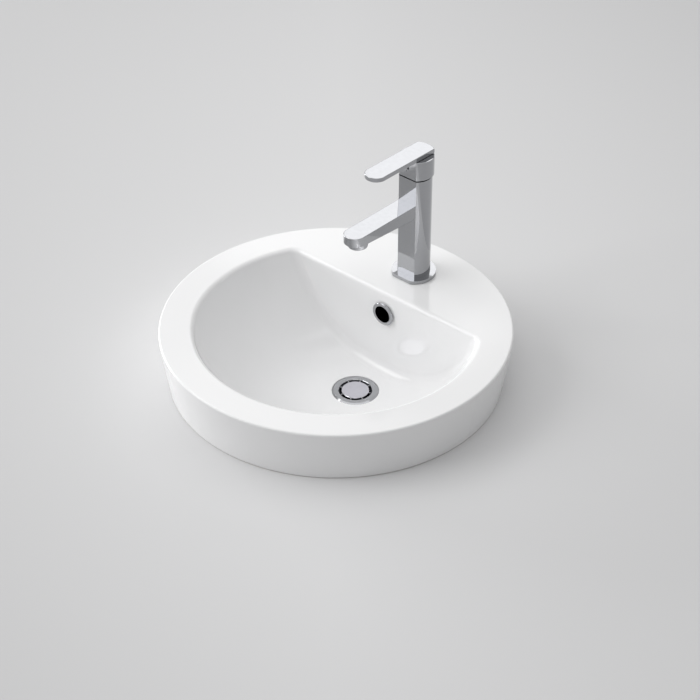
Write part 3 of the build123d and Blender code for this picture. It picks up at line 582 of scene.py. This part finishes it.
def mesh_rule():
    """Round piece of wire mesh: two crossed rows of wires, each as long as its chord."""
    known = bpy.data.node_groups.get("Basin wire mesh")
    if known:
        return known
    tree, given = new_rule("Basin wire mesh", {
        "Radius": ("NodeSocketFloat", 0.01),
        "Pitch": ("NodeSocketFloat", 0.001),
        "Wire": ("NodeSocketFloat", 0.0001),
        "Place": ("NodeSocketVector", (0.0, 0.0, 0.0)),
    })
    half_count = add(tree, "ShaderNodeMath", {0: given["Radius"], 1: given["Pitch"]}, operation="DIVIDE")
    half_count = add(tree, "ShaderNodeMath", {0: half_count.outputs["Value"]}, operation="FLOOR")
    half_count = half_count.outputs["Value"]
    count = add(tree, "ShaderNodeMath", {0: half_count, 1: 2.0, 2: 1.0}, operation="MULTIPLY_ADD")
    start = add(tree, "ShaderNodeMath", {0: half_count, 1: given["Pitch"]}, operation="MULTIPLY")
    start = add(tree, "ShaderNodeMath", {0: start.outputs["Value"], 1: -1.0}, operation="MULTIPLY")
    first = add(tree, "ShaderNodeCombineXYZ", {"X": start.outputs["Value"]})
    step = add(tree, "ShaderNodeCombineXYZ", {"X": given["Pitch"]})
    row = add(tree, "GeometryNodeMeshLine", {
        "Count": count.outputs["Value"], "Start Location": first.outputs["Vector"],
        "Offset": step.outputs["Vector"],
    })
    place = add(tree, "GeometryNodeInputPosition").outputs["Position"]
    across = add(tree, "ShaderNodeSeparateXYZ", {"Vector": place}).outputs["X"]
    square = add(tree, "ShaderNodeMath", {0: across, 1: across}, operation="MULTIPLY")
    whole = add(tree, "ShaderNodeMath", {0: given["Radius"], 1: given["Radius"]}, operation="MULTIPLY")
    rest = add(tree, "ShaderNodeMath", {0: whole.outputs["Value"], 1: square.outputs["Value"]},
               operation="SUBTRACT")
    chord = add(tree, "ShaderNodeMath", {0: rest.outputs["Value"]}, operation="SQRT")
    size = add(tree, "ShaderNodeCombineXYZ", {"X": 1.0, "Y": chord.outputs["Value"], "Z": 1.0})
    wire = add(tree, "GeometryNodeMeshCylinder", {"Vertices": MESH_WIRE_SIDES, "Radius": given["Wire"],
                                                  "Depth": MESH_WIRE_LENGTH})
    lying = add(tree, "GeometryNodeTransform", {"Geometry": wire.outputs["Mesh"],
                                                "Rotation": (math.radians(90), 0.0, 0.0)})
    wires = add(tree, "GeometryNodeInstanceOnPoints", {
        "Points": row.outputs["Mesh"], "Instance": lying.outputs["Geometry"],
        "Scale": size.outputs["Vector"],
    })
    drop = add(tree, "ShaderNodeMath", {0: given["Wire"], 1: -1.0}, operation="MULTIPLY")
    below = add(tree, "ShaderNodeCombineXYZ", {"Z": drop.outputs["Value"]})
    crossed = add(tree, "GeometryNodeTransform", {
        "Geometry": wires.outputs["Instances"], "Translation": below.outputs["Vector"],
        "Rotation": (0.0, 0.0, math.radians(90)),
    })
    both = tree.nodes.new("GeometryNodeJoinGeometry")
    tree.links.new(wires.outputs["Instances"], both.inputs["Geometry"])
    tree.links.new(crossed.outputs["Geometry"], both.inputs["Geometry"])
    return close_rule(tree, given, both.outputs["Geometry"])


def grow(name, rule, body, values):
    """Plain mesh made by a rule with these values, riding on a body."""
    made = link(bpy.data.objects.new(name, bpy.data.meshes.new(name)))
    modifier = made.modifiers.new("rule", "NODES")
    modifier.node_group = rule
    for item in rule.interface.items_tree:
        if item.in_out == "INPUT" and item.name in values:
            modifier[item.identifier] = values[item.name]
    made.update_tag()
    bpy.context.view_layer.update()
    shown = made.evaluated_get(bpy.context.evaluated_depsgraph_get())
    mesh = bpy.data.meshes.new_from_object(shown)
    made.modifiers.clear()
    made.data = mesh
    if not mesh.polygons:
        raise RuntimeError(name + " came out empty")
    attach(made, body)
    return made


def cut_thread(name, rod, nut, radius, pitch, material):
    """Thread on the free end of a rod, from its lower end up to its nut."""
    ridge = pitch * detail().thread_share
    centre = middle(rod)
    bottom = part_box(rod)[0].z + pitch
    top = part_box(nut)[0].z - pitch * THREAD_RUN_OUT
    made = grow(name, thread_rule(), "basin", {
        "Radius": radius, "Height": top - bottom, "Pitch": pitch, "Ridge": ridge, "Material": material,
        "Place": (centre.x, centre.y, bottom),
    })


# Pieces

class INSETBASIN_OT_china(Operator):
    """Glaze the basin"""

    bl_idname = "inset_basin.china"
    bl_label = "China"

    def execute(self, context):
        coat(glazed_china(), "basin")
        return {"FINISHED"}


class INSETBASIN_OT_overflow(Operator):
    """Chrome the overflow ring"""

    bl_idname = "inset_basin.overflow"
    bl_label = "Overflow ring"

    def execute(self, context):
        coat(chrome(), "overflow_ring")
        return {"FINISHED"}


class INSETBASIN_OT_waste(Operator):
    """Finish the waste, its washers and its back nut"""

    bl_idname = "inset_basin.waste"
    bl_label = "Waste"

    def execute(self, context):
        coat(chrome(), "waste_body")
        coat(silicone(), "waste_top_gasket")
        coat(rubber(), "waste_bottom_gasket")
        coat(white_plastic(), "waste_slip_ring")
        coat(brass(), "waste_back_nut")
        coat(grey_plastic(), "latch_housing")
        coat(steel(), "latch_spring")
        mounts = {mount["name"]: mount for mount in frame["record"]["mounts"]}
        radius = mounts["waste_outlet"]["dims"]["r_mm"] / 1000
        pitch = detail().waste_pitch
        cut_thread("waste_thread", "waste_body", "waste_back_nut", radius, pitch, chrome())
        return {"FINISHED"}


class INSETBASIN_OT_plug(Operator):
    """Finish the push plug"""

    bl_idname = "inset_basin.plug"
    bl_label = "Plug"

    def execute(self, context):
        coat(light_chrome(), "plug_cap")
        coat(slotted_chrome(), "plug_strainer")
        coat(rubber(), "plug_seal")
        coat(grey_plastic(), "plug_stem")
        return {"FINISHED"}


class INSETBASIN_OT_mixer(Operator):
    """Finish the mixer's body, foot and outlet"""

    bl_idname = "inset_basin.mixer"
    bl_label = "Mixer body"

    def execute(self, context):
        coat(chrome(), "mixer_body", "base_flange", "aerator_housing")
        coat(rubber(), "base_seal", "aerator_seal")
        coat(white_plastic(), "aerator_core")
        low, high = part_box("aerator_core")
        centre = middle("aerator_core")
        wires = grow("aerator_mesh", mesh_rule(), "basin", {
            "Radius": (high.x - low.x) / 2 - MESH_MARGIN, "Pitch": detail().mesh_pitch,
            "Wire": detail().wire, "Material": steel(),
            "Place": (centre.x, centre.y, low.z - detail().wire),
        })
        return {"FINISHED"}


class INSETBASIN_OT_clamp(Operator):
    """Finish the stud, nut and horseshoe under the deck"""

    bl_idname = "inset_basin.clamp"
    bl_label = "Clamp"

    def execute(self, context):
        coat(steel(), "mounting_stud", "horseshoe_plate")
        coat(rubber(), "horseshoe_seal")
        coat(brass(), "mounting_nut")
        low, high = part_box("mounting_stud")
        radius = (high.x - low.x) / 2
        pitch = detail().stud_pitch
        cut_thread("stud_thread", "mounting_stud", "mounting_nut", radius, pitch, steel())
        return {"FINISHED"}


class INSETBASIN_OT_cartridge(Operator):
    """Finish the ceramic cartridge"""

    bl_idname = "inset_basin.cartridge"
    bl_label = "Cartridge"

    def execute(self, context):
        coat(grey_plastic(), "cartridge_body", "disc_carrier")
        coat(rubber(), "cartridge_seals")
        coat(alumina(), "disc_fixed", "disc_moving")
        coat(brass(), "cartridge_nut")
        coat(white_plastic(), "cartridge_carriage")
        coat(steel(), "pivot_pin", "cartridge_stem")
        return {"FINISHED"}


class INSETBASIN_OT_handle(Operator):
    """Finish the handle's cap, lever, set screw and its plug"""

    bl_idname = "inset_basin.handle"
    bl_label = "Handle"

    def execute(self, context):
        coat(chrome(), "handle_cap", "lever_plate")
        coat(steel(), "handle_screw")
        coat(black_plastic(), "index_plug")
        coat(grey_plastic(), "index_dot")
        return {"FINISHED"}


# Studio

def link(thing):
    """Put a new object in the scene."""
    bpy.context.scene.collection.objects.link(thing)
    return thing


def aim(name, box, power):
    """Rectangular softbox at its place, facing its target."""
    place, target, width, height = box
    lamp = bpy.data.lights.new(name, "AREA")
    lamp.shape = "RECTANGLE"
    lamp.size = width
    lamp.size_y = height
    lamp.energy = power
    made = link(bpy.data.objects.new(name, lamp))
    made.location = place
    made.rotation_euler = (Vector(target) - Vector(place)).to_track_quat("-Z", "Y").to_euler()


def floor_material():
    """Pale floor with a painted pool of light in its middle and painted shade to one side, that fades into
    the sky far out and is clear from below.
    """
    material, tree, shader = new_material("Studio floor")
    place = add(tree, "ShaderNodeTexCoord").outputs["Object"]
    reach = add(tree, "ShaderNodeVectorMath", {0: place}, operation="LENGTH").outputs["Value"]
    # Painted light: the floor colour is painted lighter near the middle, as a pool of light
    pool_falloff = add(tree, "ShaderNodeMapRange", {"Value": reach, "From Min": FLOOR_POOL_RADII[0],
                                               "From Max": FLOOR_POOL_RADII[1]}).outputs["Result"]
    colour = studio().floor
    # Painted shade: the floor colour is painted darker towards the left and front
    along = add(tree, "ShaderNodeVectorMath", {0: place, 1: FLOOR_PAINTED_SHADE_WAY}, operation="DOT_PRODUCT")
    side = add(tree, "ShaderNodeMapRange", {"Value": along.outputs["Value"], "From Min": 0.0,
                                            "From Max": FLOOR_PAINTED_SHADE_REACH}).outputs["Result"]
    pool_unshaded = blend(tree, pool_falloff, shade(colour, FLOOR_POOL_UNSHADED[0]), shade(colour, FLOOR_POOL_UNSHADED[1]))
    pool_shaded = blend(tree, pool_falloff, shade(colour, FLOOR_POOL_SHADED[0]), shade(colour, FLOOR_POOL_SHADED[1]))
    tree.links.new(blend(tree, side, pool_unshaded, pool_shaded), shader.inputs["Base Color"])
    shader.inputs["Roughness"].default_value = 0.9
    shader.inputs["Specular IOR Level"].default_value = 0.1
    clear = add(tree, "ShaderNodeBsdfTransparent")
    back = add(tree, "ShaderNodeNewGeometry").outputs["Backfacing"]
    far = add(tree, "ShaderNodeMapRange", {"Value": reach, "From Min": FLOOR_FADE[0],
                                           "From Max": FLOOR_FADE[1]}).outputs["Result"]
    away = add(tree, "ShaderNodeMath", {0: back, 1: far}, operation="MAXIMUM").outputs["Value"]
    mixed = add(tree, "ShaderNodeMixShader", {0: away, 1: shader.outputs["BSDF"], 2: clear.outputs["BSDF"]})
    output = next(node for node in tree.nodes if node.bl_idname == "ShaderNodeOutputMaterial")
    tree.links.new(mixed.outputs["Shader"], output.inputs["Surface"])
    return material


def floor_mesh():
    """Large flat floor with a round hole that the rim covers."""
    low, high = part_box("basin")
    inner = (high.x - low.x) / 2 - FLOOR_UNDER_RIM
    mesh = bmesh.new()
    turns = [math.tau * step / FLOOR_STEPS for step in range(FLOOR_STEPS)]
    rings = [
        [mesh.verts.new((radius * math.cos(turn), radius * math.sin(turn), 0)) for turn in turns]
        for radius in (inner, *FLOOR_RINGS)
    ]
    for small, large in zip(rings, rings[1:]):
        for step in range(FLOOR_STEPS):
            after = (step + 1) % FLOOR_STEPS
            mesh.faces.new((small[step], large[step], large[after], small[after]))
    data = bpy.data.meshes.new("floor")
    mesh.to_mesh(data)
    mesh.free()
    return data


class INSETBASIN_OT_studio(Operator):
    """Make the floor, the lamps and the camera"""

    bl_idname = "inset_basin.studio"
    bl_label = "Studio"

    def execute(self, context):
        chosen = studio()
        floor = link(bpy.data.objects.new("floor", floor_mesh()))
        floor.data.materials.append(floor_material())

        world = bpy.data.worlds.new("Studio sky")
        world.use_nodes = True
        tree = world.node_tree
        sky = tree.nodes["Background"]
        sky.inputs["Color"].default_value = (1.0, 1.0, 1.0, 1.0)
        ray = add(tree, "ShaderNodeLightPath").outputs
        seen = add(tree, "ShaderNodeMath", {0: ray["Is Camera Ray"], 1: ray["Is Glossy Ray"]},
                   operation="MAXIMUM")
        seen = add(tree, "ShaderNodeMath", {0: seen.outputs["Value"], 1: ray["Is Transmission Ray"]},
                   operation="MAXIMUM")
        level = add(tree, "ShaderNodeMapRange", {"Value": seen.outputs["Value"], "To Min": chosen.sky,
                                                 "To Max": chosen.horizon})
        tree.links.new(level.outputs["Result"], sky.inputs["Strength"])
        context.scene.world = world

        aim("top softbox", TOP_BOX, chosen.top_light)
        aim("mirror softbox", MIRROR_BOX, chosen.mirror_light)
        aim("left softbox", LEFT_BOX, chosen.side_light)
        aim("front softbox", FRONT_BOX, chosen.front_light)

        side = Vector((math.cos(chosen.azimuth), math.sin(chosen.azimuth), 0.0))
        back = Vector((math.sin(chosen.azimuth) * math.cos(chosen.elevation),
                       -math.cos(chosen.azimuth) * math.cos(chosen.elevation), math.sin(chosen.elevation)))
        lens = bpy.data.cameras.new("camera")
        lens.sensor_width = SENSOR_WIDTH
        lens.lens = chosen.lens
        lens.clip_end = CLIP_END
        camera = link(bpy.data.objects.new("camera", lens))
        place = Matrix((side, back.cross(side), back)).transposed().to_4x4()
        place.translation = Vector(chosen.target) + back * chosen.distance
        camera.matrix_world = place
        context.scene.camera = camera
        context.scene.view_settings.view_transform = "Standard"
        return {"FINISHED"}


STEPS = (
    INSETBASIN_OT_china,
    INSETBASIN_OT_overflow,
    INSETBASIN_OT_waste,
    INSETBASIN_OT_plug,
    INSETBASIN_OT_mixer,
    INSETBASIN_OT_clamp,
    INSETBASIN_OT_cartridge,
    INSETBASIN_OT_handle,
    INSETBASIN_OT_studio,
)


class INSETBASIN_PT_panel(Panel):
    """Sizes, finishes and steps of the inset basin"""

    bl_label = "Inset basin"
    bl_idname = "INSETBASIN_PT_panel"
    bl_space_type = "VIEW_3D"
    bl_region_type = "UI"
    bl_category = "Inset basin"

    def draw(self, context):
        for group in (finishes(), detail(), studio()):
            column = self.layout.column()
            for name in group.bl_rna.properties.keys():
                if name not in ("rna_type", "name"):
                    column.prop(group, name)
        for step in STEPS:
            self.layout.operator(step.bl_idname)


CLASSES = (InsetBasinFinishes, InsetBasinDetail, InsetBasinStudio, *STEPS, INSETBASIN_PT_panel)


def register():
    for made in CLASSES:
        bpy.utils.register_class(made)
    bpy.types.Scene.inset_basin_finishes = PointerProperty(type=InsetBasinFinishes)
    bpy.types.Scene.inset_basin_detail = PointerProperty(type=InsetBasinDetail)
    bpy.types.Scene.inset_basin_studio = PointerProperty(type=InsetBasinStudio)


def unregister():
    del bpy.types.Scene.inset_basin_finishes
    del bpy.types.Scene.inset_basin_detail
    del bpy.types.Scene.inset_basin_studio
    for made in reversed(CLASSES):
        bpy.utils.unregister_class(made)


def main():
    register()
    for step in STEPS:
        group, name = step.bl_idname.split(".")
        getattr(getattr(bpy.ops, group), name)()


if __name__ == "__main__":
    main()
